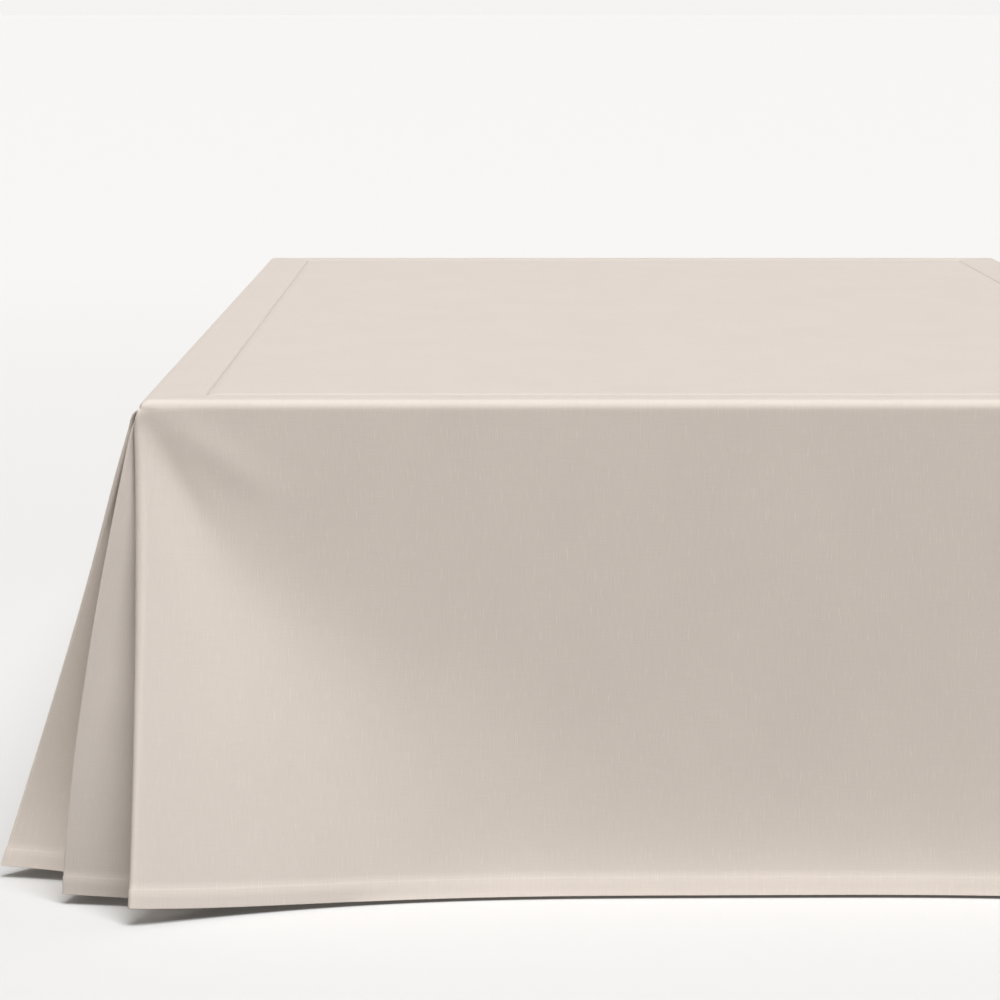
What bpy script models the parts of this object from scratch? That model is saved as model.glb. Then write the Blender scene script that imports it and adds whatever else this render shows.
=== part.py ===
"""A box spring cover on its box spring: a deck panel, four drops and four corner pleats."""

import math

import bmesh
import bpy

# Sizes are in metres. The bed stands on z = 0, its foot end faces -Y, and the middle of the
# whole cover's outline is over the origin, so the bed's own middle is a little off it.
BED_X = 0.0262
BED_Y = 0.0285

# Over the whole cover
WIDTH = 0.900
LENGTH = 1.900
HEIGHT = 0.400

# The cloth and its hem
CLOTH = 0.0012
HEM_CLOTH = 0.0020
HEM_DEPTH = 0.015
HEM_OVER_FLOOR = 0.0026
SEAM_GAP = 0.0003

# The turn over the top edge, and the strip from there to the deck's seam
TURN_RADIUS = 0.014
TURN_STEPS = 3
DECK_INSET = 0.050

# The pleats: each fold's loop, how far the pleat reaches behind its drop, and the share of
# the fall over which a return's knee forms
FOLD_RADIUS_TOP = 0.0013
FOLD_RADIUS_HEM = 0.0035
FOLD_STEPS = 3
RETURN_STEPS = 5
LAYER_PITCH_TOP = 0.0038
LAYER_PITCH_HEM = 0.0058
PLEAT_DEPTH = 0.100
KNEE_FALL = 0.39
SEAM_RISE = 0.0035
LEG_STEPS = 5
CREASE_TOP = 0.0030
CREASE_BEHIND = 0.0030
CREASE_CLEARS_FOLD = 0.0030
CREASE_POWER = 1.4

# How a fold's outward stand grows down its drop, with a quick first puff below the turn,
# and how it dies away along the drop
PUFF = 0.0035
PUFF_FALL = 0.03
FLARE_POWER = 1.2
STATION_POWER = 1.8
FALL_AT_PLEAT_TOP = 0.035
FALLS = (0.08, 0.15, 0.205, 0.26, 0.39, 0.53, 0.68, 0.83)

# The box spring and its feet
BOX_INSET = 0.0125
BOX_HEIGHT = 0.220
BOX_EDGE = 0.011
BOX_EDGE_STEPS = 3
FOOT_INSET = 0.120
FOOT_TOP_RADIUS = 0.030
FOOT_BOTTOM_RADIUS = 0.022
FOOT_SIDES = 20

# For each end of a drop, at the hem: how far the fold stands out of the drop and back from
# the corner, how far along its flare spreads, the hem's rise, and where the seam behind lies.
# The fold is top_back from the corner at the top of the pleat. A return with a knee first
# runs towards a place knee_back and knee_in from its fold.
FOLD_COLUMNS = (
    "drop", "corner", "out", "top_back", "back", "spread", "rise", "seam_back", "seam_out",
    "knee_back", "knee_in"
)
FOLD_ROWS = (
    ("foot", "foot_left", 0.115, -0.002, -0.001, 0.150, 0.0124, 0.046, 0.052, 0.0, 0.0),
    ("foot", "foot_right", 0.062, 0.003, 0.006, 0.110, 0.0040, 0.070, 0.030, 0.0, 0.0),
    ("left", "foot_left", 0.121, 0.002, 0.073, 0.140, 0.0080, 0.048, 0.050, -0.018, 0.070),
    ("left", "head_left", 0.056, 0.004, 0.014, 0.120, 0.0036, 0.076, 0.026, 0.0, 0.0),
    ("right", "foot_right", 0.070, 0.003, 0.020, 0.130, 0.0050, 0.074, 0.034, 0.0, 0.0),
    ("right", "head_right", 0.050, 0.004, 0.010, 0.110, 0.0030, 0.078, 0.022, 0.0, 0.0),
    ("head", "head_left", 0.048, 0.004, 0.006, 0.100, 0.0030, 0.078, 0.022, 0.0, 0.0),
    ("head", "head_right", 0.058, 0.004, 0.012, 0.120, 0.0036, 0.072, 0.028, 0.0, 0.0),
)

# At the hem, for each corner: how far the pleat's crease stands out past the side and past
# the end of the bed, and the hem's rise there.
CREASE_COLUMNS = ("corner", "past_side", "past_end", "rise")
CREASE_ROWS = (
    ("foot_left", 0.062, 0.030, 0.0062),
    ("foot_right", 0.026, 0.018, 0.0030),
    ("head_left", 0.020, 0.018, 0.0026),
    ("head_right", 0.018, 0.022, 0.0026),
)

# Each drop's half count of stations along it, and its low waves, largest at the hem.
DROP_COLUMNS = ("drop", "stations", "wave", "waves", "phase")
DROP_ROWS = (
    ("foot", 9, 0.0010, 2.3, 0.4),
    ("left", 12, 0.0050, 5.5, 1.1),
    ("right", 12, 0.0045, 4.6, 2.7),
    ("head", 8, 0.0025, 2.6, 0.9),
)

# Colours as seen, converted to linear values
LINEN = (0.527, 0.474, 0.423)
TICKING = (0.62, 0.59, 0.54)
WOOD = (0.36, 0.22, 0.12)

HALF_WIDTH = WIDTH / 2 - CLOTH / 2
HALF_LENGTH = LENGTH / 2 - CLOTH / 2
TOP_LEVEL = HEIGHT - CLOTH / 2
HANG_LEVEL = TOP_LEVEL - TURN_RADIUS
HEM_START = 1 - HEM_DEPTH / HANG_LEVEL
HEM_LEDGE = 0.004


def rows_of(columns, rows):
    """Table rows as dictionaries."""
    return [dict(zip(columns, row)) for row in rows]


FOLDS = {(row["drop"], row["corner"]): row for row in rows_of(FOLD_COLUMNS, FOLD_ROWS)}
CREASES = {row["corner"]: row for row in rows_of(CREASE_COLUMNS, CREASE_ROWS)}
DROPS = {row["drop"]: row for row in rows_of(DROP_COLUMNS, DROP_ROWS)}


def mix(start, end, share):
    return start + (end - start) * share


def clamp(value, low=0.0, high=1.0):
    return min(max(value, low), high)


def curve(share, start, middle, end):
    """A bend from start to end that leaves towards middle."""
    return mix(mix(start, middle, share), mix(middle, end, share), share)


def clear_scene():
    for item in list(bpy.data.objects):
        bpy.data.objects.remove(item, do_unlink=True)


def principled(name, colour, roughness):
    """A plain material in the part's colour."""
    material = bpy.data.materials.new(name)
    material.use_nodes = True
    shader = material.node_tree.nodes["Principled BSDF"]
    shader.inputs["Base Color"].default_value = (*colour, 1)
    shader.inputs["Roughness"].default_value = roughness
    shader.inputs["Metallic"].default_value = 0.0
    return material


def add_object(name, mesh, material, collection):
    """A sub-part, placed from the middle of the bed."""
    mesh.materials.append(material)
    item = bpy.data.objects.new(name, mesh)
    collection.objects.link(item)
    item.parent = bpy.data.objects["bed_middle"]
    return item


def corner_signs(corner):
    """Which way x and y point into the bed from a corner."""
    return (1 if "left" in corner else -1), (1 if "foot" in corner else -1)


def corners_of(drop):
    """The two corners that a drop runs between."""
    if drop in ("foot", "head"):
        return drop + "_left", drop + "_right"
    return "foot_" + drop, "head_" + drop


def length_of(drop):
    return 2 * (HALF_WIDTH if drop in ("foot", "head") else HALF_LENGTH)


def to_world(drop, corner, along, out, level):
    """A place measured from a corner: along the drop into the bed, out of it, and up."""
    sign_x, sign_y = corner_signs(corner)
    if drop in ("foot", "head"):
        return sign_x * (along - HALF_WIDTH), sign_y * (-out - HALF_LENGTH), level
    return sign_x * (-out - HALF_WIDTH), sign_y * (along - HALF_LENGTH), level


def thickness_at(fall):
    return CLOTH if fall < HEM_START + HEM_LEDGE / 2 else HEM_CLOTH


def fold_radius(fall):
    return mix(FOLD_RADIUS_TOP, FOLD_RADIUS_HEM, fall)


def layer_pitch(fall):
    """From the middle of one layer of a pleat to the middle of the next."""
    return mix(LAYER_PITCH_TOP, LAYER_PITCH_HEM, fall)


def flare(distance, fall, spread):
    """The share of a fold's stand that is left at a distance along the drop."""
    reach = spread * max(fall, FALL_AT_PLEAT_TOP)
    return math.exp(-((max(distance, 0.0) / reach) ** FLARE_POWER))


def from_first(drop, corner, along):
    """Turns a place measured from a corner into one from the drop's first corner, and back."""
    return along if corner == corners_of(drop)[0] else length_of(drop) - along


def fold_back(drop, corner, fall):
    """How far a fold lies from its corner along the drop."""
    fold = FOLDS[drop, corner]
    return mix(fold["top_back"], fold["back"], fall)


def distance_from(drop, corner, along, fall):
    """From a drop's fold at a corner to a station measured from the drop's first corner."""
    return from_first(drop, corner, along) - fold_back(drop, corner, fall)


def fold_stand(drop, corner, fall):
    """How far a fold stands out of its drop."""
    puff = PUFF * (1 - math.exp(-fall / PUFF_FALL))
    return puff + (FOLDS[drop, corner]["out"] - PUFF) * fall


def drop_out(drop, along, fall):
    """How far a drop stands out of its plane."""
    shape = DROPS[drop]
    share = along / length_of(drop)
    window = math.sin(math.pi * clamp(share)) ** 0.5
    swing = math.sin(2 * math.pi * shape["waves"] * share + shape["phase"])
    out = shape["wave"] * fall ** 2 * window * (1 + swing)
    for corner in corners_of(drop):
        fold = FOLDS[drop, corner]
        distance = distance_from(drop, corner, along, fall)
        out += fold_stand(drop, corner, fall) * flare(distance, fall, fold["spread"])
    return out


def drop_hem(drop, along):
    """The level of a drop's hem."""
    level = HEM_OVER_FLOOR
    for corner in corners_of(drop):
        fold = FOLDS[drop, corner]
        distance = distance_from(drop, corner, along, 1)
        level += fold["rise"] * flare(distance, 1, fold["spread"]) ** 2
    return level


def fold_start(drop, corner, fall):
    """Where the flat of a drop ends and its fold's loop begins, from the corner."""
    return fold_back(drop, corner, fall) + fold_radius(fall)


def seam_place(drop, corner, fall):
    """Where the seam behind a fold lies, from the corner."""
    fold = FOLDS[drop, corner]
    along = mix(PLEAT_DEPTH, fold["seam_back"], fall)
    pitch = layer_pitch(fall)
    behind = drop_out(drop, from_first(drop, corner, along), fall) - pitch
    return along, min(mix(-pitch, fold["seam_out"], fall), behind)


def loop_turn(start, out, radius, aim):
    """How far a fold turns before its cloth runs straight at the place it aims for."""
    back, across = aim[0] - start, aim[1] - (out - radius)
    turn = math.pi + math.atan2(across, back) + math.asin(radius / math.hypot(back, across))
    return min(turn, math.pi)


def return_aim(drop, corner, fall, start, out):
    """The place that a return leaves its loop for: its knee, or half way to its seam."""
    fold = FOLDS[drop, corner]
    seam_along, seam_out = seam_place(drop, corner, fall)
    halfway = ((start + seam_along) / 2, (out - 2 * fold_radius(fall) + seam_out) / 2)
    knee = (start + fold["knee_back"] * fall, out - fold["knee_in"] * fall)
    share = clamp(fall / KNEE_FALL) if fold["knee_in"] else 0
    return tuple(mix(a, b, share) for a, b in zip(halfway, knee))


def pleat_layer(drop, corner, fall):
    """The loop and return behind a drop's fold: along, out and hem level of each point."""
    radius = fold_radius(fall)
    start = fold_start(drop, corner, fall)
    out = drop_out(drop, from_first(drop, corner, start), fall)
    hem = drop_hem(drop, from_first(drop, corner, start))
    aim = return_aim(drop, corner, fall, start, out)
    full_turn = loop_turn(start, out, radius, aim)
    points = []
    for step in range(1, FOLD_STEPS + 1):
        turn = full_turn * step / FOLD_STEPS
        points.append((start - radius * math.sin(turn), out - radius + radius * math.cos(turn), hem))
    end, seam = points[-1], seam_place(drop, corner, fall)
    for step in range(1, RETURN_STEPS + 1):
        share = (step / RETURN_STEPS) ** STATION_POWER
        along, line = (curve(share, *places) for places in zip(end, aim, seam))
        if along > start:
            behind = drop_out(drop, from_first(drop, corner, along), fall) - layer_pitch(fall)
            line = min(line, behind)
        points.append((along, line, mix(hem, HEM_OVER_FLOOR + SEAM_RISE, share)))
    return points


def level_at(hem, fall):
    return mix(HANG_LEVEL, hem, fall)


def hanging_falls():
    """Shares of the hang, from the turn to the hem."""
    hem = (HEM_START - HEM_LEDGE, HEM_START + HEM_LEDGE, 1.0)
    return (0.0, FALL_AT_PLEAT_TOP) + FALLS + hem


def top_rows():
    """The drop's strip on the deck and its turn: inset from the edge, level, and slope."""
    rows = [(DECK_INSET, TOP_LEVEL, 0.0)]
    for step in range(TURN_STEPS):
        turn = math.pi / 2 * step / TURN_STEPS
        inset = TURN_RADIUS * (1 - math.sin(turn))
        rows.append((inset, TOP_LEVEL - TURN_RADIUS * (1 - math.cos(turn)), math.sin(turn)))
    return rows


def stations(drop, first_start, last_start):
    """Places along a drop, closest together near its two ends."""
    count, half = DROPS[drop]["stations"], length_of(drop) / 2
    near = [(step / count) ** STATION_POWER for step in range(count + 1)]
    first = [mix(first_start, half, share) for share in near]
    last = [2 * half - mix(last_start, half, share) for share in near]
    return first + last[-2::-1]


def drop_row_on_top(drop, inset, level, slope):
    """One row of a drop above its hang, mitred at both corners."""
    start = inset + SEAM_GAP + CLOTH / 2 * slope
    first, _ = corners_of(drop)
    return [to_world(drop, first, along, -inset, level) for along in stations(drop, start, start)]


def hanging_start(drop, corner, fall):
    """Where the flat part of a hanging row ends, from its corner."""
    if fall < FALL_AT_PLEAT_TOP:
        return SEAM_GAP + CLOTH / 2
    return fold_start(drop, corner, fall)


def drop_row_hanging(drop, fall):
    """One hanging row of a drop, without its returns."""
    first, last = corners_of(drop)
    starts = [hanging_start(drop, corner, fall) for corner in (first, last)]
    row = []
    for along in stations(drop, *starts):
        level = level_at(drop_hem(drop, along), fall)
        row.append(to_world(drop, first, along, drop_out(drop, along, fall), level))
    return row


def pleat_row(drop, corner, fall):
    """A hanging row's loop and return at one corner, or nothing above the pleat."""
    if fall < FALL_AT_PLEAT_TOP:
        return [None] * (FOLD_STEPS + RETURN_STEPS)
    points = pleat_layer(drop, corner, fall)
    return [to_world(drop, corner, along, out, level_at(hem, fall)) for along, out, hem in points]


def drop_grid(drop):
    """All rows of a drop, from the deck's seam to the hem, with the thickness of each."""
    first, last = corners_of(drop)
    blank = [None] * (FOLD_STEPS + RETURN_STEPS)
    grid = [(blank + drop_row_on_top(drop, *row) + blank, CLOTH) for row in top_rows()]
    for fall in hanging_falls():
        before = pleat_row(drop, first, fall)[::-1]
        after = pleat_row(drop, last, fall)
        grid.append((before + drop_row_hanging(drop, fall) + after, thickness_at(fall)))
    return grid


def cover_over(layer, along):
    """The least that a pleat's layer stands out over a place along the drop, None clear of it."""
    covers = []
    for (a, out_a, _), (b, out_b, _) in zip(layer, layer[1:]):
        if min(a, b) <= along <= max(a, b) and a != b:
            covers.append(mix(out_a, out_b, (along - a) / (b - a)))
    edge = min(a for a, _, _ in layer)
    if not covers and edge - CREASE_CLEARS_FOLD < along < edge:
        covers.append(layer[FOLD_STEPS - 1][1])
    return min(covers, default=None)


def crease_limit(drop, corner, past, fall):
    """How far a crease may stand out of a drop's plane, given how far it is past its end."""
    radius = fold_radius(fall)
    apart = fold_back(drop, corner, fall) + past
    share = clamp(apart / (radius + CREASE_CLEARS_FOLD))
    behind = mix(2 * radius + layer_pitch(fall), CREASE_BEHIND, share)
    return fold_stand(drop, corner, fall) - behind


def crease_place(corner, fall):
    """How far the pleat's crease stands past the side and past the end."""
    crease = CREASES[corner]
    share = 1 - (1 - fall) ** CREASE_POWER
    past_side = mix(-CREASE_TOP, crease["past_side"], share)
    past_end = mix(-CREASE_TOP, crease["past_end"], share)
    side = "left" if "left" in corner else "right"
    end = "foot" if "foot" in corner else "head"
    past_side = min(past_side, crease_limit(side, corner, past_end, fall))
    past_end = min(past_end, crease_limit(end, corner, past_side, fall))
    return past_side, past_end


def insert_leg(drop, corner, fall):
    """A pleat insert's layer behind one drop, from its seam to just short of the crease."""
    past_side, past_end = crease_place(corner, fall)
    if drop in ("foot", "head"):
        crease_along, crease_out = -past_side, past_end
    else:
        crease_along, crease_out = -past_end, past_side
    layer = pleat_layer(drop, corner, max(fall, FALL_AT_PLEAT_TOP))
    pitch = thickness_at(fall) + SEAM_GAP
    seam_along, seam_out, seam_hem = layer[-1]
    crease_hem = HEM_OVER_FLOOR + CREASES[corner]["rise"]
    points = []
    for step in range(LEG_STEPS):
        share = 1 - (1 - step / LEG_STEPS) ** STATION_POWER
        along = mix(seam_along, crease_along, share)
        out = mix(seam_out - pitch, crease_out, share)
        cover = cover_over(layer, along)
        if step and cover is not None:
            out = min(out, cover - layer_pitch(fall))
        level = level_at(mix(seam_hem, crease_hem, share), fall)
        points.append(to_world(drop, corner, along, out, level))
    return points


def insert_row(corner, fall):
    side = "left" if "left" in corner else "right"
    end = "foot" if "foot" in corner else "head"
    past_side, past_end = crease_place(corner, fall)
    level = level_at(HEM_OVER_FLOOR + CREASES[corner]["rise"], fall)
    crease = to_world(end, corner, -past_side, past_end, level)
    return insert_leg(end, corner, fall) + [crease] + insert_leg(side, corner, fall)[::-1]


def insert_grid(corner):
    return [(insert_row(corner, fall), thickness_at(fall)) for fall in hanging_falls()]


def sheet_from_grid(name, grid, material, collection):
    """A cloth solid from rows of points, thicker where its rows say so."""
    mesh = bpy.data.meshes.new(name)
    shape = bmesh.new()
    weight = shape.verts.layers.deform.verify()
    rows = []
    for points, thickness in grid:
        row = [point and shape.verts.new(point) for point in points]
        for vertex in filter(None, row):
            vertex[weight][0] = thickness / HEM_CLOTH
        rows.append(row)
    for upper, lower in zip(rows, rows[1:]):
        for corners in zip(upper, upper[1:], lower[1:], lower):
            if all(corners):
                shape.faces.new(corners)
    bmesh.ops.recalc_face_normals(shape, faces=shape.faces)
    shape.to_mesh(mesh)
    shape.free()
    item = add_object(name, mesh, material, collection)
    item.vertex_groups.new(name="thickness")
    solid = item.modifiers.new("cloth", "SOLIDIFY")
    solid.thickness = HEM_CLOTH
    solid.offset = 0
    solid.use_even_offset = True
    solid.vertex_group = "thickness"
    return item


def add_box(name, size, centre, material, collection):
    """A box of a given size, with its scale in the mesh."""
    mesh = bpy.data.meshes.new(name)
    shape = bmesh.new()
    bmesh.ops.create_cube(shape, size=1)
    bmesh.ops.scale(shape, vec=size, verts=shape.verts)
    shape.to_mesh(mesh)
    shape.free()
    item = add_object(name, mesh, material, collection)
    item.location = centre
    return item


def add_deck(material, collection):
    """The flat panel that the drops are sewn to."""
    inset = CLOTH / 2 + DECK_INSET + SEAM_GAP
    size = (WIDTH - 2 * inset, LENGTH - 2 * inset, CLOTH)
    return add_box("deck_panel", size, (0, 0, TOP_LEVEL), material, collection)


def add_box_spring(material, collection):
    top = HEIGHT - CLOTH - SEAM_GAP
    inset = CLOTH / 2 + BOX_INSET
    size = (WIDTH - 2 * inset, LENGTH - 2 * inset, BOX_HEIGHT)
    item = add_box("box_spring", size, (0, 0, top - BOX_HEIGHT / 2), material, collection)
    edge = item.modifiers.new("edge", "BEVEL")
    edge.width = BOX_EDGE
    edge.segments = BOX_EDGE_STEPS
    return item


def add_feet(material, collection):
    """Four turned feet under the box spring."""
    height = HEIGHT - CLOTH - SEAM_GAP - BOX_HEIGHT - SEAM_GAP
    for corner in CREASES:
        sign_x, sign_y = corner_signs(corner)
        mesh = bpy.data.meshes.new("foot_" + corner)
        shape = bmesh.new()
        bmesh.ops.create_cone(
            shape,
            cap_ends=True,
            segments=FOOT_SIDES,
            radius1=FOOT_BOTTOM_RADIUS,
            radius2=FOOT_TOP_RADIUS,
            depth=height,
        )
        shape.to_mesh(mesh)
        shape.free()
        mesh.shade_smooth()
        mesh.set_sharp_from_angle(angle=math.radians(40))
        item = add_object("leg_" + corner, mesh, material, collection)
        x = sign_x * (FOOT_INSET - WIDTH / 2)
        y = sign_y * (FOOT_INSET - LENGTH / 2)
        item.location = (x, y, height / 2)


def main():
    clear_scene()
    collection = bpy.data.collections.new("box_spring_cover")
    bpy.context.scene.collection.children.link(collection)
    middle = bpy.data.objects.new("bed_middle", None)
    middle.location = (BED_X, BED_Y, 0)
    collection.objects.link(middle)
    add_deck(principled("deck_linen", LINEN, 0.9), collection)
    for drop in DROPS:
        material = principled(drop + "_linen", LINEN, 0.9)
        sheet_from_grid(drop + "_drop", drop_grid(drop), material, collection)
    for corner in CREASES:
        material = principled(corner + "_linen", LINEN, 0.9)
        sheet_from_grid("pleat_" + corner, insert_grid(corner), material, collection)
    add_box_spring(principled("ticking", TICKING, 0.85), collection)
    add_feet(principled("foot_wood", WOOD, 0.5), collection)


main()
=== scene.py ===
"""The looks of a box spring cover on its box spring: fine cloth sheets, seams and materials."""

import math

import bmesh
import bpy
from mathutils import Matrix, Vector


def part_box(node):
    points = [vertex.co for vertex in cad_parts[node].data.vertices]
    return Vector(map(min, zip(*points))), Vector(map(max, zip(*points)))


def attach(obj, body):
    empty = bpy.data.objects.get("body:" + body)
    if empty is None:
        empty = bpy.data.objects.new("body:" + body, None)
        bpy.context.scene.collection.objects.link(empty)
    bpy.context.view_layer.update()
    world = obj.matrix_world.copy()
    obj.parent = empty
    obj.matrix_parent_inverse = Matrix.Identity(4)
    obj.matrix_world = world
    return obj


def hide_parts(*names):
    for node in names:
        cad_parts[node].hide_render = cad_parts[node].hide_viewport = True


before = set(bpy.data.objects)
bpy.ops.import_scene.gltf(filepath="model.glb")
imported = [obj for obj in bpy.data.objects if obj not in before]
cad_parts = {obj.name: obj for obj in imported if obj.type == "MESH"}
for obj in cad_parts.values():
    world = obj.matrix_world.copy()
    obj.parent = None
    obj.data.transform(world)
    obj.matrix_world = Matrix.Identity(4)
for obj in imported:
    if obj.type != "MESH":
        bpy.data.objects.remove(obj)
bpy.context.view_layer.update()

# The bed, in metres, as in the part
WIDTH = 0.900
LENGTH = 1.900
HEIGHT = 0.400
BOX_LOW, BOX_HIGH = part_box("box_spring")
BED_X = (BOX_LOW.x + BOX_HIGH.x) / 2
BED_Y = (BOX_LOW.y + BOX_HIGH.y) / 2

# The camera, from the foot end's left corner at floor level
CAMERA_RIGHT = 0.2857
CAMERA_BACK = 3.300
CAMERA_UP = 0.7083
CAMERA_TILT = 0.117
CAMERA_LENS = 150.9
CAMERA_SENSOR = 36

# The sky: its glow at the horizon and overhead, and the heights that it changes between
STUDIO_WHITE = (1.0, 0.990, 0.980, 1)
HORIZON_GLOW = 0.91
SKY_GLOW = 0.21
GLOW_FROM = 0.03
GLOW_TO = 0.19

# The two lights, each turned from straight above and then to the right of the foot end
KEY_POWER = 3.95
KEY_SPREAD = math.radians(40)
KEY_FROM_ABOVE = math.radians(30)
KEY_FROM_RIGHT = math.radians(18)
FILL_POWER = 0.6
FILL_SPREAD = math.radians(60)
FILL_FROM_ABOVE = math.radians(66)
FILL_FROM_RIGHT = math.radians(-38)
FILL_WARMTH = (1.0, 0.90, 0.72)

# The floor, which glows a little more the further it is from the bed's middle
FLOOR_SIZE = 400
FLOOR_WHITE = (0.590, 0.592, 0.598, 1)
FLOOR_WARMTH = (1.0, 0.93, 0.86, 1)
FLOOR_ROUGHNESS = 0.9
FLOOR_GLOW_FROM = 1.2
FLOOR_GLOW_TO = 7.0
FLOOR_GLOW_NEAR = 0.06
FLOOR_GLOW_FAR = 0.14

# The black card over the floor before the foot end
FLAG_DISTANCE = 0.04
FLAG_SIZE = (8.0, 4.0)
FLAG_LEVEL = 0.002
FLAG_BLACK = (0.02, 0.02, 0.02, 1)

# The cloth and its hem
CLOTH = 0.0008
HEM_CLOTH = 0.0014
HEM_DEPTH = 0.015
HEM_LEDGE = 0.0008
HEM_EDGE = 0.0005
HEM_OVER_FLOOR = 0.0026
HEM_ALLOWANCE = 0.030
SEAM_GAP = 0.0003

# The turn over the top edge, and the strip from there to the deck's seam
TURN_RADIUS = 0.007
TURN_STEPS = 7
DECK_INSET = 0.050
SEAM_DIP = 0.0014
SEAM_DIP_REACH = 0.005
STRIP_STEPS = 6
STRIP_POWER = 1.5

# The deck panel: its rows and columns, those close to its seams, and its low ripple
DECK_COUNTS = (90, 150)
DECK_EDGE = 0.02
DECK_EDGE_STEPS = (0.0, 0.0012, 0.0025, 0.004, 0.006, 0.009, 0.013)
DECK_RIPPLE = 0.0006
DECK_RIPPLE_WAVES = ((9.0, 3.1), (-4.0, 5.3))
DECK_RIPPLE_REACH = 0.08

# Rows of points down a drop and along it
HANG_ROWS = 64
TOP_FALLS = (0.0, 0.006, 0.013, 0.022)
STATION_POWER = 1.35

# The pleats: the folds and returns of the drops
FOLD_RADIUS_TOP = 0.0008
FOLD_STEPS = 8
RETURN_STEPS = 16
LAYER_PITCH_TOP = 0.0024
LAYER_PITCH_HEM = 0.0054
PLEAT_DEPTH = 0.100
SEAM_RISE = 0.0035

# The pleats' inserts: their seams, and the crease in the middle of each
LEG_STEPS = 48
SEAM_PITCH = 0.0022
SEAM_EASE = 0.12
CREASE_TOP_SIDE = 0.0035
CREASE_TOP_END = -0.0040
CREASE_BEHIND = 0.0009
CREASE_CLEARS_FOLD = 0.0015
CREASE_POWER = 1.45
CREASE_SOFTENING = 6
INSERT_SOFTENING = 6

# How a fold's outward stand grows down its drop, and dies away along it
PUFF = 0.0035
PUFF_FALL = 0.03
BELLY_FALL = 0.11
BULGE_FALL = 0.018
FLARE_POWER = 1.2
LEAST_FALL = 0.035

# How a fold opens below the top seam, and the shares of the fall where each part is largest
SIDE_TUCK_TOP = 0.0028
SIDE_TUCK = 0.0058
TUCK_FALL = 0.02
OPENING_FALL = 0.08
BOW_POWER = 0.8
ROLL_FALL = 0.22
SHOULDER = 0.8
SHOULDER_REACH = 0.006
KNEE_FALL = 0.30

# The slight turn outwards of a drop's lowest part
KICK = 0.001
KICK_FROM = 0.72

# The line below which a flared panel leans out, and how softly it bends there
BEND_REACH = 1.93
BEND_POWER = 0.7
BEND_SOFTNESS = 0.012
BEND_SOFTER_BELOW = 0.10

# How far past its two ends a soft ridge or trough fades out, as a share of its length
RELIEF_FADE = 0.3

# For each end of a drop, in metres. At the hem: how far the fold stands out of the drop, and
# how far back from the corner it lies, which is top_back at the top, with a bow between. The
# radius of the fold's bend, and the roll that widens it half way. Its belly and bulge near
# the top. How far along the drop its flare spreads, and the hem's rise. Where the seam behind
# the fold lies, and where the return has its knee, from the fold.
FOLD_COLUMNS = (
    "drop", "corner", "out", "top_back", "back", "bow", "radius", "roll", "belly", "bulge",
    "spread", "rise", "seam_back", "seam_out", "knee_back", "knee_in"
)
FOLD_ROWS = (
    ("foot", "foot_left", 0.115, -0.0052, -0.0026, 0.0030, 0.0030, 0.0050, 0.0, 0.0012,
     0.150, 0.0124, 0.046, 0.052, 0.0, 0.0),
    ("foot", "foot_right", 0.062, 0.002, 0.006, 0.002, 0.0030, 0.0020, 0.0, 0.0,
     0.110, 0.0040, 0.070, 0.030, 0.0, 0.0),
    ("left", "foot_left", 0.121, 0.002, 0.073, 0.0, 0.0026, 0.0, 0.0056, 0.0036,
     0.140, 0.0080, 0.048, 0.050, -0.018, 0.070),
    ("left", "head_left", 0.056, 0.003, 0.014, 0.003, 0.0028, 0.0018, 0.0, 0.0,
     0.120, 0.0036, 0.076, 0.026, 0.0, 0.0),
    ("right", "foot_right", 0.070, 0.003, 0.020, 0.001, 0.0028, 0.0020, 0.0, 0.0,
     0.130, 0.0050, 0.074, 0.034, 0.0, 0.0),
    ("right", "head_right", 0.050, 0.003, 0.010, 0.002, 0.0028, 0.0018, 0.0, 0.0,
     0.110, 0.0030, 0.078, 0.022, 0.0, 0.0),
    ("head", "head_left", 0.048, 0.002, 0.006, 0.002, 0.0028, 0.0018, 0.0, 0.0,
     0.100, 0.0030, 0.078, 0.022, 0.0, 0.0),
    ("head", "head_right", 0.058, 0.002, 0.012, 0.003, 0.0030, 0.0020, 0.0, 0.0,
     0.120, 0.0036, 0.072, 0.028, 0.0, 0.0),
)

# At the hem, for each corner: how far the pleat's crease stands out past the side and past
# the end of the bed, and the hem's rise there.
CREASE_COLUMNS = ("corner", "past_side", "past_end", "rise")
CREASE_ROWS = (
    ("foot_left", 0.062, 0.030, 0.0062),
    ("foot_right", 0.026, 0.018, 0.0030),
    ("head_left", 0.020, 0.018, 0.0026),
    ("head_right", 0.018, 0.022, 0.0026),
)

# Each drop's half count of stations along it, and its low waves, largest at the hem.
DROP_COLUMNS = ("drop", "stations", "wave", "waves", "phase")
DROP_ROWS = (
    ("foot", 56, 0.0010, 2.3, 0.4),
    ("left", 92, 0.0050, 5.5, 1.1),
    ("right", 92, 0.0045, 4.6, 2.7),
    ("head", 50, 0.0025, 2.6, 0.9),
)

# Soft ridges and troughs: from and to, each as metres along the drop from its first corner
# and share of the fall, then half width and height (a trough is below 0).
RELIEF_COLUMNS = ("drop", "along", "fall", "to_along", "to_fall", "width", "height")
RELIEF_ROWS = (
    ("foot", 0.005, 0.03, 0.055, 0.26, 0.009, -0.0020),
    ("foot", 0.022, 0.02, 0.100, 0.17, 0.014, 0.0015),
)

HALF_WIDTH = WIDTH / 2 - CLOTH / 2
HALF_LENGTH = LENGTH / 2 - CLOTH / 2
TOP_LEVEL = HEIGHT - CLOTH / 2
HANG_LEVEL = TOP_LEVEL - TURN_RADIUS
HEM_START = 1 - HEM_DEPTH / HANG_LEVEL


def rows_of(columns, rows):
    return [dict(zip(columns, row)) for row in rows]


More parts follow.
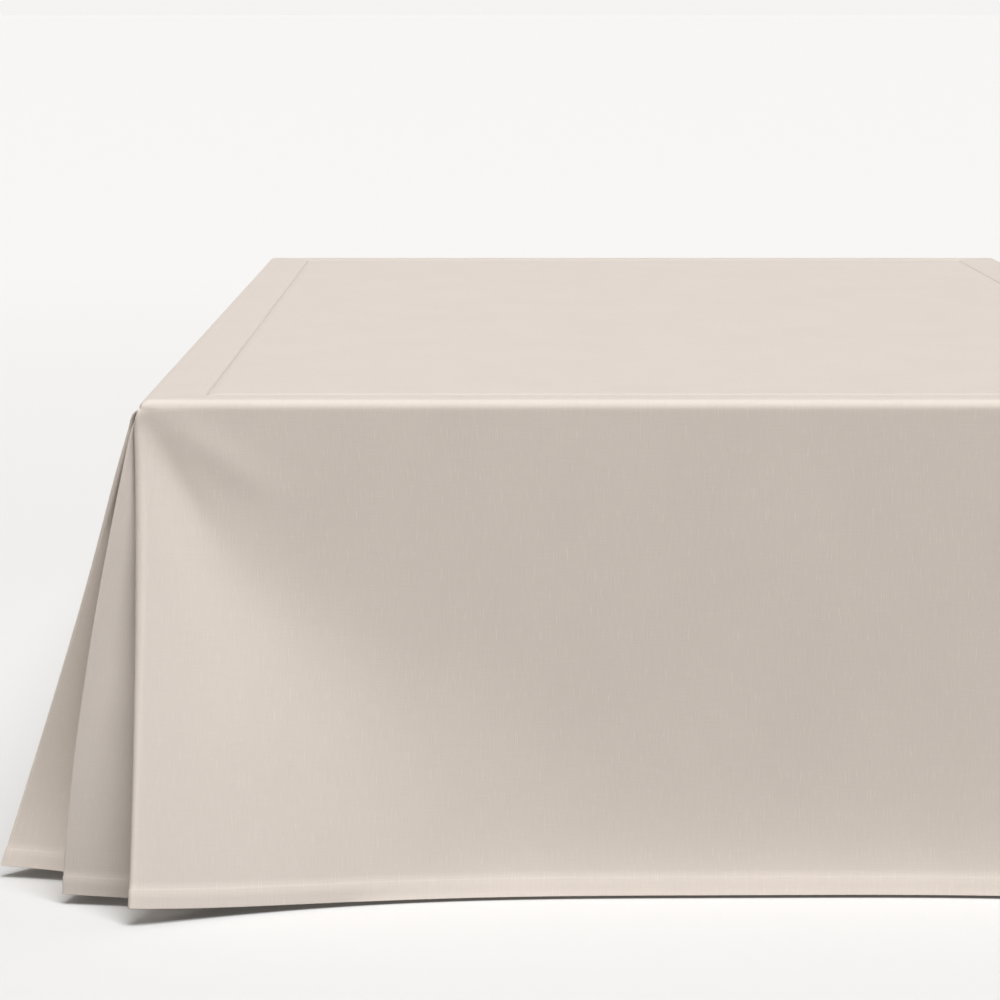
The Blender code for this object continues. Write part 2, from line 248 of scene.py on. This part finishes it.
FOLDS = {(row["drop"], row["corner"]): row for row in rows_of(FOLD_COLUMNS, FOLD_ROWS)}
CREASES = {row["corner"]: row for row in rows_of(CREASE_COLUMNS, CREASE_ROWS)}
DROPS = {row["drop"]: row for row in rows_of(DROP_COLUMNS, DROP_ROWS)}
RELIEF = rows_of(RELIEF_COLUMNS, RELIEF_ROWS)


def mix(start, end, share):
    return start + (end - start) * share


def curve(share, start, middle, end):
    """A bend from start to end that leaves towards middle."""
    return mix(mix(start, middle, share), mix(middle, end, share), share)


def clamp(value, low=0.0, high=1.0):
    return min(max(value, low), high)


def corner_signs(corner):
    """Which way x and y point into the bed from a corner."""
    return (1 if "left" in corner else -1), (1 if "foot" in corner else -1)


def corners_of(drop):
    """The two corners that a drop runs between."""
    if drop in ("foot", "head"):
        return drop + "_left", drop + "_right"
    return "foot_" + drop, "head_" + drop


def length_of(drop):
    return 2 * (HALF_WIDTH if drop in ("foot", "head") else HALF_LENGTH)


def to_world(drop, corner, along, out, level):
    """A place measured from a corner: along the drop into the bed, out of it, and up."""
    sign_x, sign_y = corner_signs(corner)
    if drop in ("foot", "head"):
        x, y = sign_x * (along - HALF_WIDTH), sign_y * (-out - HALF_LENGTH)
    else:
        x, y = sign_x * (-out - HALF_WIDTH), sign_y * (along - HALF_LENGTH)
    return BED_X + x, BED_Y + y, level


def thickness_at(fall):
    share = clamp((fall - HEM_START) * HANG_LEVEL / HEM_LEDGE + 0.5)
    return mix(CLOTH, HEM_CLOTH, share)


def opened(fall, by):
    """How far something that opens from the top seam has opened, given the fall it takes."""
    return 1 - math.exp(-fall / by)


def swell(fall, peak):
    """A swelling from 0 at the top seam to 1 at its peak, which then dies away."""
    return fall / peak * math.exp(1 - fall / peak)


def fold_radius(drop, corner, fall):
    fold = FOLDS[drop, corner]
    roll = fold["roll"] * swell(fall, ROLL_FALL)
    return mix(FOLD_RADIUS_TOP, fold["radius"], opened(fall, OPENING_FALL)) + roll


def layer_pitch(fall):
    return mix(LAYER_PITCH_TOP, LAYER_PITCH_HEM, opened(fall, OPENING_FALL))


def flare(distance, fall, spread):
    """The share of a fold's stand that is left at a distance along the drop."""
    reach = spread * max(fall, LEAST_FALL)
    return math.exp(-((max(distance, 0.0) / reach) ** FLARE_POWER))


def lean(distance, fall, spread):
    """How far a panel leans out, from 0 at its top to 1 at its hem, past its bend."""
    bend = 1 - math.exp(-((max(distance, 0.0) / (BEND_REACH * spread)) ** BEND_POWER))
    soft = BEND_SOFTNESS + BEND_SOFTER_BELOW * bend
    top, here, hem = (soft * math.log1p(math.exp((f - bend) / soft)) for f in (0, fall, 1))
    return (here - top) / (hem - top)


def from_first(drop, corner, along):
    """Turns a place measured from a corner into one from the drop's first corner, and back."""
    return along if corner == corners_of(drop)[0] else length_of(drop) - along


def fold_back(drop, corner, fall):
    fold = FOLDS[drop, corner]
    top, tuck = (SIDE_TUCK_TOP, SIDE_TUCK) if drop in ("left", "right") else (0.0, 0.0)
    bow = fold["bow"] * math.sin(math.pi * clamp(fall)) ** BOW_POWER
    below = mix(fold["top_back"] + tuck, fold["back"], fall) + bow
    return mix(top, below, opened(fall, TUCK_FALL))


def distance_from(drop, corner, along, fall):
    """From a drop's fold at a corner to a station measured from the drop's first corner."""
    return from_first(drop, corner, along) - fold_back(drop, corner, fall)


def puff(fall):
    return PUFF * opened(fall, PUFF_FALL)


def shoulder(fold, distance, fall):
    """How far a drop curves back beside its fold's roll."""
    size = SHOULDER * fold["roll"] * swell(fall, ROLL_FALL)
    return size * math.exp(-max(distance, 0.0) / SHOULDER_REACH)


def near_top(fold, fall):
    """A fold's stand near the top of its pleat."""
    bulge = fold["bulge"] * swell(fall, BULGE_FALL)
    return puff(fall) + fold["belly"] * swell(fall, BELLY_FALL) + bulge


def fold_stand(drop, corner, fall):
    fold = FOLDS[drop, corner]
    return near_top(fold, fall) + (fold["out"] - PUFF) * fall - shoulder(fold, 0, fall)


def relief_out(drop, along, fall):
    """The soft ridges and troughs of a drop."""
    out = 0.0
    for row in RELIEF:
        if row["drop"] != drop:
            continue
        run = row["to_along"] - row["along"]
        drop_by = (row["to_fall"] - row["fall"]) * HANG_LEVEL
        size = math.hypot(run, drop_by)
        side, down = along - row["along"], (fall - row["fall"]) * HANG_LEVEL
        share = (side * run + down * drop_by) / size ** 2
        off = (side * drop_by - down * run) / size
        if -RELIEF_FADE < share < 1 + RELIEF_FADE:
            ease = math.cos(math.pi * (share - 0.5) / (1 + 2 * RELIEF_FADE))
            out += row["height"] * ease ** 2 * math.exp(-((off / row["width"]) ** 2))
    return out


def drop_out(drop, along, fall):
    """How far a drop stands out of its plane."""
    shape = DROPS[drop]
    share = along / length_of(drop)
    window = math.sin(math.pi * clamp(share)) ** 0.5
    swing = math.sin(2 * math.pi * shape["waves"] * share + shape["phase"])
    out = shape["wave"] * fall ** 2 * window * (1 + swing)
    for corner in corners_of(drop):
        fold = FOLDS[drop, corner]
        distance = distance_from(drop, corner, along, fall)
        out += near_top(fold, fall) * flare(distance, fall, fold["spread"])
        out -= shoulder(fold, distance, fall)
        at_hem = (fold["out"] - PUFF) * flare(distance, 1, fold["spread"])
        out += at_hem * lean(distance, fall, fold["spread"])
    kick = KICK * clamp((fall - KICK_FROM) / (1 - KICK_FROM)) ** 2 * window
    return out + kick + relief_out(drop, along, fall)


def drop_hem(drop, along):
    """The level of a drop's hem."""
    level = HEM_OVER_FLOOR
    for corner in corners_of(drop):
        fold = FOLDS[drop, corner]
        distance = distance_from(drop, corner, along, 1)
        level += fold["rise"] * flare(distance, 1, fold["spread"]) ** 2
    return level


def fold_start(drop, corner, fall):
    return fold_back(drop, corner, fall) + fold_radius(drop, corner, fall)


def seam_place(drop, corner, fall):
    """Where the seam behind a fold lies, from the corner."""
    fold = FOLDS[drop, corner]
    along = mix(PLEAT_DEPTH, fold["seam_back"], fall)
    pitch = layer_pitch(fall)
    behind = drop_out(drop, from_first(drop, corner, along), fall) - pitch
    return along, min(mix(-pitch, fold["seam_out"], fall), behind)


def loop_turn(start, out, radius, aim):
    """How far a fold turns before its cloth runs straight at the place it aims for."""
    back, across = aim[0] - start, aim[1] - (out - radius)
    turn = math.pi + math.atan2(across, back) + math.asin(radius / math.hypot(back, across))
    return min(turn, math.pi)


def return_aim(drop, corner, fall, start, out):
    """The place that a return leaves its loop for: its knee, or half way to its seam."""
    fold = FOLDS[drop, corner]
    radius = fold_radius(drop, corner, fall)
    seam_along, seam_out = seam_place(drop, corner, fall)
    halfway = ((start + seam_along) / 2, (out - 2 * radius + seam_out) / 2)
    knee = (start + fold["knee_back"] * fall, out - fold["knee_in"] * fall)
    share = clamp(fall / KNEE_FALL) if fold["knee_in"] else 0
    return tuple(mix(a, b, share) for a, b in zip(halfway, knee))


def pleat_layer(drop, corner, fall):
    """The loop and return behind a drop's fold: along, out and hem level of each point."""
    radius = fold_radius(drop, corner, fall)
    start = fold_start(drop, corner, fall)
    out = drop_out(drop, from_first(drop, corner, start), fall)
    hem = drop_hem(drop, from_first(drop, corner, start))
    aim = return_aim(drop, corner, fall, start, out)
    full_turn = loop_turn(start, out, radius, aim)
    points = []
    for step in range(1, FOLD_STEPS + 1):
        turn = full_turn * step / FOLD_STEPS
        points.append((start - radius * math.sin(turn), out - radius + radius * math.cos(turn), hem))
    end, seam = points[-1], seam_place(drop, corner, fall)
    for step in range(1, RETURN_STEPS + 1):
        share = (step / RETURN_STEPS) ** STATION_POWER
        along, line = (curve(share, *places) for places in zip(end, aim, seam))
        if along > start:
            behind = drop_out(drop, from_first(drop, corner, along), fall) - layer_pitch(fall)
            line = min(line, behind)
        points.append((along, line, mix(hem, HEM_OVER_FLOOR + SEAM_RISE, share)))
    return points


def level_at(hem, fall):
    return mix(HANG_LEVEL, hem, fall)


def hanging_falls():
    """Shares of the hang, from the turn to the hem, with close rows at the hem's ledge."""
    ledge = HEM_LEDGE / HANG_LEVEL
    edges = [HEM_START - ledge / 2, HEM_START, HEM_START + ledge / 2, (HEM_START + 1) / 2]
    edges += [1 - HEM_EDGE / HANG_LEVEL, 1.0]
    falls = list(TOP_FALLS)
    first = falls[-1]
    falls += [mix(first, edges[0], (step + 1) / HANG_ROWS) for step in range(HANG_ROWS)]
    return falls + edges[1:]


def seam_dip(inset_from_seam):
    """How far cloth dips into the deck's seam."""
    return SEAM_DIP * math.exp(-((inset_from_seam / SEAM_DIP_REACH) ** 2))


def top_rows():
    """The drop's strip on the deck and its turn: inset from the edge, level, and slope."""
    rows = []
    for step in range(STRIP_STEPS):
        share = (step / STRIP_STEPS) ** STRIP_POWER
        inset = mix(DECK_INSET, TURN_RADIUS, share)
        rows.append((inset, TOP_LEVEL - seam_dip(DECK_INSET - inset), 0.0))
    for step in range(TURN_STEPS):
        turn = math.pi / 2 * step / TURN_STEPS
        inset = TURN_RADIUS * (1 - math.sin(turn))
        rows.append((inset, TOP_LEVEL - TURN_RADIUS * (1 - math.cos(turn)), math.sin(turn)))
    return rows


def stations(drop, first_start, last_start):
    """Places along a drop, closest together near its two ends."""
    count, half = DROPS[drop]["stations"], length_of(drop) / 2
    near = [(step / count) ** STATION_POWER for step in range(count + 1)]
    first = [mix(first_start, half, share) for share in near]
    last = [2 * half - mix(last_start, half, share) for share in near]
    return first + last[-2::-1]


def drop_row_on_top(drop, inset, level, slope):
    corners = corners_of(drop)
    starts = []
    for corner in corners:
        seam = SEAM_GAP + CLOTH / 2 * slope
        starts.append(inset + mix(seam, fold_start(drop, corner, 0), slope ** 2))
    return [to_world(drop, corners[0], along, -inset, level) for along in stations(drop, *starts)]


def drop_row_hanging(drop, fall):
    first, last = corners_of(drop)
    starts = [fold_start(drop, corner, fall) for corner in (first, last)]
    row = []
    for along in stations(drop, *starts):
        level = level_at(drop_hem(drop, along), fall)
        row.append(to_world(drop, first, along, drop_out(drop, along, fall), level))
    return row


def pleat_row(drop, corner, fall):
    points = pleat_layer(drop, corner, fall)
    return [to_world(drop, corner, along, out, level_at(hem, fall)) for along, out, hem in points]


def drop_grid(drop):
    """All rows of a drop, from the deck's seam to the hem, with the thickness of each."""
    first, last = corners_of(drop)
    blank = [None] * (FOLD_STEPS + RETURN_STEPS)
    grid = [(blank + drop_row_on_top(drop, *row) + blank, CLOTH) for row in top_rows()]
    for fall in hanging_falls():
        before = pleat_row(drop, first, fall)[::-1]
        after = pleat_row(drop, last, fall)
        grid.append((before + drop_row_hanging(drop, fall) + after, thickness_at(fall)))
    return grid


def crease_limit(drop, corner, past, fall):
    """How far a crease may stand out of a drop's plane, given how far it is past its end."""
    radius = fold_radius(drop, corner, fall)
    apart = fold_back(drop, corner, fall) + past
    share = clamp(apart / (radius + CREASE_CLEARS_FOLD))
    behind = mix(2 * radius + layer_pitch(fall), CREASE_BEHIND, share)
    return fold_stand(drop, corner, fall) - behind


def end_and_side(corner):
    end, side = corner.split("_")
    return end, side


def crease_place(corner, fall):
    """How far the pleat's crease stands past the side and past the end."""
    crease = CREASES[corner]
    share = 1 - (1 - fall) ** CREASE_POWER
    past_side = mix(CREASE_TOP_SIDE, crease["past_side"], share)
    past_end = mix(CREASE_TOP_END, crease["past_end"], share)
    end, side = end_and_side(corner)
    past_side = min(past_side, crease_limit(side, corner, past_end, fall))
    past_end = min(past_end, crease_limit(end, corner, past_side, fall))
    return past_side, past_end


def cover_over(layer, along):
    """The least that a pleat's layer stands out over a place along the drop, None clear of it."""
    covers = []
    for (a, out_a, _), (b, out_b, _) in zip(layer, layer[1:]):
        if min(a, b) <= along <= max(a, b) and a != b:
            covers.append(mix(out_a, out_b, (along - a) / (b - a)))
    edge, edge_out, _ = min(layer)
    if not covers and edge - CREASE_CLEARS_FOLD < along < edge:
        covers.append(edge_out)
    return min(covers, default=None)


def insert_leg(drop, corner, fall):
    """A pleat insert's layer behind one drop, from its seam to just short of the crease."""
    past_side, past_end = crease_place(corner, fall)
    if drop in ("foot", "head"):
        crease_along, crease_out = -past_side, past_end
    else:
        crease_along, crease_out = -past_end, past_side
    layer = pleat_layer(drop, corner, fall)
    seam_along, seam_out, seam_hem = layer[-1]
    crease_hem = HEM_OVER_FLOOR + CREASES[corner]["rise"]
    points = []
    for step in range(LEG_STEPS):
        share = 1 - (1 - step / LEG_STEPS) ** STATION_POWER
        along = mix(seam_along, crease_along, share)
        out = mix(seam_out - SEAM_PITCH, crease_out, share)
        cover = cover_over(layer, along)
        if step and cover is not None:
            ease = clamp(share / SEAM_EASE)
            out = min(out, cover - mix(SEAM_PITCH, layer_pitch(fall), ease))
        level = level_at(mix(seam_hem, crease_hem, share), fall)
        points.append(to_world(drop, corner, along, out, level))
    return points


def softened(points, times):
    """A row of points with its sharpest bends rounded, its ends kept."""
    for _ in range(times):
        inner = [
            tuple((a + 2 * b + c) / 4 for a, b, c in zip(p, q, r))
            for p, q, r in zip(points, points[1:], points[2:])
        ]
        points = [points[0]] + inner + [points[-1]]
    return points


def insert_row(corner, fall):
    end, side = end_and_side(corner)
    past_side, past_end = crease_place(corner, fall)
    level = level_at(HEM_OVER_FLOOR + CREASES[corner]["rise"], fall)
    crease = to_world(end, corner, -past_side, past_end, level)
    row = insert_leg(end, corner, fall) + [crease] + insert_leg(side, corner, fall)[::-1]
    return softened(row, CREASE_SOFTENING)


def insert_grid(corner):
    falls = hanging_falls()
    rows = [insert_row(corner, fall) for fall in falls]
    above_hem = sum(fall < HEM_START for fall in falls) - 1
    columns = [softened(list(column), INSERT_SOFTENING) for column in zip(*rows[:above_hem])]
    rows[:above_hem] = zip(*columns)
    return [(row, thickness_at(fall)) for row, fall in zip(rows, falls)]


def run_of(points):
    """Distance along a list of points, at each of them."""
    total, out = 0.0, [0.0]
    for a, b in zip(points, points[1:]):
        total += math.dist(a, b)
        out.append(total)
    return out


def thread_places(grid):
    """How far across and down its cloth each column and each row of a grid lies."""
    across = run_of(grid[len(grid) * 2 // 3][0])
    middle = len(across) // 2
    down = run_of([points[middle] for points, _ in grid])
    return across, down


def add_faces(shape, rows, layout, place):
    """Faces between rows of points, with their places on the threads as UVs."""
    for upper, lower in zip(rows, rows[1:]):
        for corners in zip(upper, upper[1:], lower[1:], lower):
            if not all(corners):
                continue
            face = shape.faces.new(corners)
            face.smooth = True
            for loop in face.loops:
                loop[layout].uv = place[loop.vert]


def mesh_from_grid(name, grid):
    """A mesh from rows of points, with each point's thickness as a share of the hem's."""
    mesh = bpy.data.meshes.new(name)
    shape = bmesh.new()
    weight = shape.verts.layers.deform.verify()
    layout = shape.loops.layers.uv.new("threads")
    across, down = thread_places(grid)
    rows, place = [], {}
    for row_index, (points, thickness) in enumerate(grid):
        row = [point and shape.verts.new(point) for point in points]
        for column, vertex in enumerate(row):
            if vertex:
                vertex[weight][0] = thickness / HEM_CLOTH
                place[vertex] = (across[column], -down[row_index])
        rows.append(row)
    add_faces(shape, rows, layout, place)
    bmesh.ops.recalc_face_normals(shape, faces=shape.faces)
    shape.to_mesh(mesh)
    shape.free()
    return mesh


def sheet_from_grid(name, grid, material):
    """A cloth sheet of its own thickness from rows of points."""
    mesh = mesh_from_grid(name, grid)
    mesh.materials.append(material)
    piece = bpy.data.objects.new(name, mesh)
    bpy.context.scene.collection.objects.link(piece)
    piece.vertex_groups.new(name="thickness")
    solid = piece.modifiers.new("cloth", "SOLIDIFY")
    solid.thickness = HEM_CLOTH
    solid.offset = 0
    solid.vertex_group = "thickness"
    return piece


def deck_places(half, count):
    """Places across the deck panel, closest together at its seams."""
    before = [-half + step for step in DECK_EDGE_STEPS]
    inner = half - DECK_EDGE
    middle = [mix(-inner, inner, step / count) for step in range(count + 1)]
    return before + middle + [-place for place in before[::-1]]


def deck_level(x, y, from_seam):
    first, second = (math.sin(a * x + b * y) for a, b in DECK_RIPPLE_WAVES)
    ripple = DECK_RIPPLE * first * second
    return TOP_LEVEL - seam_dip(from_seam) + ripple * clamp(from_seam / DECK_RIPPLE_REACH)


def deck_grid():
    """The deck panel: flat, a little uneven, and dipping into its seam all round."""
    inset = DECK_INSET + SEAM_GAP
    half_x, half_y = WIDTH / 2 - inset, LENGTH / 2 - inset
    count_x, count_y = DECK_COUNTS
    xs = deck_places(half_x, count_x)
    grid = []
    for y in deck_places(half_y, count_y):
        row = []
        for x in xs:
            from_seam = min(half_x - abs(x), half_y - abs(y))
            row.append((BED_X + x, BED_Y + y, deck_level(x, y, from_seam)))
        grid.append((row, CLOTH))
    return grid


# Materials

LINEN = (0.565, 0.509, 0.466)
# The pleat inserts' linen: the same cloth made darker and greyer, as painted shade for the inserts
# that lie back in the pleats' shade.
INSERT_LINEN_PAINTED_SHADE = (0.498, 0.453, 0.421)
LINEN_FINISH = {
    "Roughness": 0.92, "Specular IOR Level": 0.25, "Sheen Weight": 0.12, "Sheen Roughness": 0.5
}
LINEN_BUMP = (0.35, 0.0003)

# The weave's noises, in cycles a metre across and down, with their detail and contrast
THREAD_DETAIL = 3.0
WARP_SCALE = (1500, 45)
WEFT_SCALE = (45, 1500)
THREAD_RANGE = (0.6, 1.4)
THREAD_CONTRAST = 0.036
CLOUD_SCALE = (14, 9)
CLOUD_RANGE = (0.3, 0.7)
CLOUD_CONTRAST = 0.012

# Slubs down the cloth, slubs across it and nubs: scale, the levels of noise at which they
# begin and are full, how much lighter they are, and how far they are raised
SPOT_DETAIL = 1.0
SPOTS = (
    ((1150, 62), 0.62, 0.78, 0.11, 1),
    ((58, 1150), 0.68, 0.82, 0.05, 0),
    ((700, 600), 0.74, 0.84, 0.11, 0),
)

TICKING = (0.62, 0.59, 0.54)
TICKING_SCALE = (420, 420, 420)
TICKING_DETAIL = 4
TICKING_CONTRAST = (0.92, 1.06)
TICKING_ROUGHNESS = 0.85
TICKING_BUMP = (0.3, 0.0005)

WOOD = (0.36, 0.22, 0.12)
WOOD_SCALE = (90, 90, 6)
WOOD_DETAIL = 6
WOOD_CONTRAST = (0.75, 1.2)
WOOD_ROUGHNESS = 0.45
GRAIN_RANGE = (0.3, 0.7)


def new_material(name):
    material = bpy.data.materials.new(name)
    material.use_nodes = True
    return material, material.node_tree.nodes, material.node_tree.links


def set_finish(shader, finish):
    for name, value in finish.items():
        shader.inputs[name].default_value = value


def math_node(nodes, links, operation, *values):
    """A Math node on numbers and other nodes' outputs."""
    made = nodes.new("ShaderNodeMath")
    made.operation = operation
    for socket, value in zip(made.inputs, values):
        if isinstance(value, (int, float)):
            socket.default_value = value
        else:
            links.new(value, socket)
    return made.outputs[0]


def stretched_noise(nodes, links, vector, scale, detail):
    """Noise that is stretched differently along each axis."""
    mapping = nodes.new("ShaderNodeMapping")
    mapping.inputs["Scale"].default_value = scale
    links.new(vector, mapping.inputs["Vector"])
    noise = nodes.new("ShaderNodeTexNoise")
    noise.inputs["Scale"].default_value = 1.0
    noise.inputs["Detail"].default_value = detail
    links.new(mapping.outputs[0], noise.inputs["Vector"])
    return noise.outputs["Fac"]


def ramp(nodes, links, value, low, high, to_low=0.0, to_high=1.0):
    """Maps the range from low to high onto another one, and clamps it there."""
    made = nodes.new("ShaderNodeMapRange")
    made.inputs["From Min"].default_value = low
    made.inputs["From Max"].default_value = high
    made.inputs["To Min"].default_value = to_low
    made.inputs["To Max"].default_value = to_high
    links.new(value, made.inputs["Value"])
    return made.outputs[0]


def tint_base(nodes, links, colour, light):
    """Makes the base colour lighter and darker over the surface."""
    tint = nodes.new("ShaderNodeVectorMath")
    tint.operation = "SCALE"
    tint.inputs[0].default_value = colour
    links.new(light, tint.inputs["Scale"])
    links.new(tint.outputs[0], nodes["Principled BSDF"].inputs["Base Color"])


def add_bump(nodes, links, height, strength, distance):
    bump = nodes.new("ShaderNodeBump")
    bump.inputs["Strength"].default_value = strength
    bump.inputs["Distance"].default_value = distance
    links.new(height, bump.inputs["Height"])
    links.new(bump.outputs[0], nodes["Principled BSDF"].inputs["Normal"])


def woven(nodes, links, vector):
    """How light and how high the weave is, with its threads, clouds, slubs and nubs."""
    def noise(scale, detail=THREAD_DETAIL):
        return stretched_noise(nodes, links, vector, (*scale, 1), detail)

    height = math_node(nodes, links, "ADD", noise(WARP_SCALE), noise(WEFT_SCALE))
    around = 1 - THREAD_CONTRAST, 1 + THREAD_CONTRAST
    light = ramp(nodes, links, height, *THREAD_RANGE, *around)
    cloud = ramp(nodes, links, noise(CLOUD_SCALE), *CLOUD_RANGE, -CLOUD_CONTRAST, CLOUD_CONTRAST)
    light = math_node(nodes, links, "ADD", light, cloud)
    for scale, begins, full, lighter, raised in SPOTS:
        spot = ramp(nodes, links, noise(scale, SPOT_DETAIL), begins, full)
        light = math_node(nodes, links, "MULTIPLY_ADD", spot, lighter, light)
        if raised:
            height = math_node(nodes, links, "MULTIPLY_ADD", spot, raised, height)
    return light, height


def linen_material(name, colour):
    """Plain weave of linen and cotton: uneven threads, slubs and nubs."""
    material, nodes, links = new_material(name)
    threads = nodes.new("ShaderNodeUVMap")
    threads.uv_map = "threads"
    light, height = woven(nodes, links, threads.outputs[0])
    tint_base(nodes, links, colour, light)
    add_bump(nodes, links, height, *LINEN_BUMP)
    set_finish(nodes["Principled BSDF"], LINEN_FINISH)
    return material


def grained_material(name, colour, scale, detail, contrast, roughness):
    """A material with fine noise in its colour, and that noise for other uses."""
    material, nodes, links = new_material(name)
    where = nodes.new("ShaderNodeTexCoord")
    grain = stretched_noise(nodes, links, where.outputs["Object"], scale, detail)
    tint_base(nodes, links, colour, ramp(nodes, links, grain, *GRAIN_RANGE, *contrast))
    set_finish(nodes["Principled BSDF"], {"Roughness": roughness})
    return material, grain


def ticking_material():
    """The box spring's woven cover."""
    material, grain = grained_material(
        "ticking", TICKING, TICKING_SCALE, TICKING_DETAIL, TICKING_CONTRAST, TICKING_ROUGHNESS
    )
    tree = material.node_tree
    add_bump(tree.nodes, tree.links, grain, *TICKING_BUMP)
    return material


def wood_material():
    """Turned wood with its grain along the foot."""
    material, _ = grained_material(
        "foot_wood", WOOD, WOOD_SCALE, WOOD_DETAIL, WOOD_CONTRAST, WOOD_ROUGHNESS
    )
    return material


# The pieces

# The length of cloth cut for a drop, from the deck's seam to the end of its hem
HANG_CUT = DECK_INSET + TURN_RADIUS * (math.pi / 2 - 1) + HANG_LEVEL + HEM_ALLOWANCE


def dress(piece, node_name):
    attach(piece, "root")
    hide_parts(node_name)


def make_drops(material):
    for drop in DROPS:
        piece = sheet_from_grid("cloth_" + drop + "_drop", drop_grid(drop), material)
        dress(piece, drop + "_drop")
        cut = (length_of(drop) + 2 * PLEAT_DEPTH, HANG_CUT)


def make_inserts(material):
    for corner in CREASES:
        piece = sheet_from_grid("cloth_pleat_" + corner, insert_grid(corner), material)
        dress(piece, "pleat_" + corner)
        end, side = end_and_side(corner)


def make_deck(material):
    piece = sheet_from_grid("cloth_deck_panel", deck_grid(), material)
    dress(piece, "deck_panel")


def finish_frame_nodes():
    """Materials for the box spring and its feet, which keep their CAD shapes."""
    ticking, wood = ticking_material(), wood_material()
    for name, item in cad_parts.items():
        if name == "box_spring":
            item.material_slots[0].material = ticking
        if name.startswith("leg_"):
            item.material_slots[0].material = wood


def add_plane(name, half):
    """A level square that reaches this far to each side of its middle."""
    mesh = bpy.data.meshes.new(name)
    shape = bmesh.new()
    bmesh.ops.create_grid(shape, x_segments=1, y_segments=1, size=half)
    shape.to_mesh(mesh)
    shape.free()
    plane = bpy.data.objects.new(name, mesh)
    bpy.context.scene.collection.objects.link(plane)
    return plane


def floor_material():
    material, nodes, links = new_material("floor")
    shader = nodes["Principled BSDF"]
    finish = {
        "Base Color": FLOOR_WHITE, "Roughness": FLOOR_ROUGHNESS, "Emission Color": FLOOR_WARMTH
    }
    set_finish(shader, finish)
    where = nodes.new("ShaderNodeTexCoord")
    distance = nodes.new("ShaderNodeVectorMath")
    distance.operation = "LENGTH"
    links.new(where.outputs["Object"], distance.inputs[0])
    reach = FLOOR_GLOW_FROM, FLOOR_GLOW_TO
    glow = ramp(nodes, links, distance.outputs["Value"], *reach, FLOOR_GLOW_NEAR, FLOOR_GLOW_FAR)
    links.new(glow, shader.inputs["Emission Strength"])
    return material


def make_floor():
    floor = add_plane("floor", FLOOR_SIZE)
    floor.data.materials.append(floor_material())


def flag_material():
    """Black from above and clear from below."""
    material, nodes, links = new_material("flag")
    shader = nodes["Principled BSDF"]
    set_finish(shader, {"Base Color": FLAG_BLACK, "Roughness": 1.0})
    side = nodes.new("ShaderNodeNewGeometry")
    clear = nodes.new("ShaderNodeBsdfTransparent")
    both = nodes.new("ShaderNodeMixShader")
    links.new(side.outputs["Backfacing"], both.inputs[0])
    links.new(shader.outputs[0], both.inputs[1])
    links.new(clear.outputs[0], both.inputs[2])
    links.new(both.outputs[0], nodes["Material Output"].inputs["Surface"])
    return material


def make_flag():
    """A card that keeps the floor's light off the foot end, and that isn't seen itself."""
    flag = add_plane("flag", half=0.5)
    flag.scale = (*FLAG_SIZE, 1)
    front = BED_Y - LENGTH / 2 - FLAG_DISTANCE
    flag.location = (BED_X, front - FLAG_SIZE[1] / 2, FLAG_LEVEL)
    flag.data.materials.append(flag_material())
    flag.visible_camera = False
    flag.visible_shadow = False


def make_camera():
    data = bpy.data.cameras.new("camera")
    data.lens = CAMERA_LENS
    data.sensor_width = CAMERA_SENSOR
    camera = bpy.data.objects.new("camera", data)
    corner_x, corner_y = BED_X - WIDTH / 2, BED_Y - LENGTH / 2
    camera.location = (corner_x + CAMERA_RIGHT, corner_y - CAMERA_BACK, CAMERA_UP)
    camera.rotation_euler = (math.pi / 2 - CAMERA_TILT, 0, 0)
    bpy.context.scene.collection.objects.link(camera)
    bpy.context.scene.camera = camera


def make_sun(name, power, spread, from_above, from_right, colour=(1, 1, 1)):
    data = bpy.data.lights.new(name, "SUN")
    data.energy = power
    data.color = colour
    data.angle = spread
    sun = bpy.data.objects.new(name, data)
    sun.rotation_euler = (from_above, 0, from_right)
    bpy.context.scene.collection.objects.link(sun)


def make_light():
    world = bpy.data.worlds.new("studio")
    world.use_nodes = True
    nodes, links = world.node_tree.nodes, world.node_tree.links
    where = nodes.new("ShaderNodeTexCoord")
    split = nodes.new("ShaderNodeSeparateXYZ")
    links.new(where.outputs["Generated"], split.inputs[0])
    strength = ramp(nodes, links, split.outputs["Z"], GLOW_FROM, GLOW_TO, HORIZON_GLOW, SKY_GLOW)
    links.new(strength, nodes["Background"].inputs["Strength"])
    nodes["Background"].inputs["Color"].default_value = STUDIO_WHITE
    bpy.context.scene.world = world
    make_sun("key", KEY_POWER, KEY_SPREAD, KEY_FROM_ABOVE, KEY_FROM_RIGHT)
    make_sun("fill", FILL_POWER, FILL_SPREAD, FILL_FROM_ABOVE, FILL_FROM_RIGHT, FILL_WARMTH)
    bpy.context.scene.view_settings.view_transform = "Standard"


def main():
    make_camera()
    make_light()
    make_floor()
    make_flag()
    linen = linen_material("skirt_linen", LINEN)
    make_drops(linen)
    # The inserts get the darker linen, which paints in the shade of the pleats.
    make_inserts(linen_material("insert_linen_painted_shade", INSERT_LINEN_PAINTED_SHADE))
    make_deck(linen_material("deck_linen", LINEN))
    finish_frame_nodes()


main()
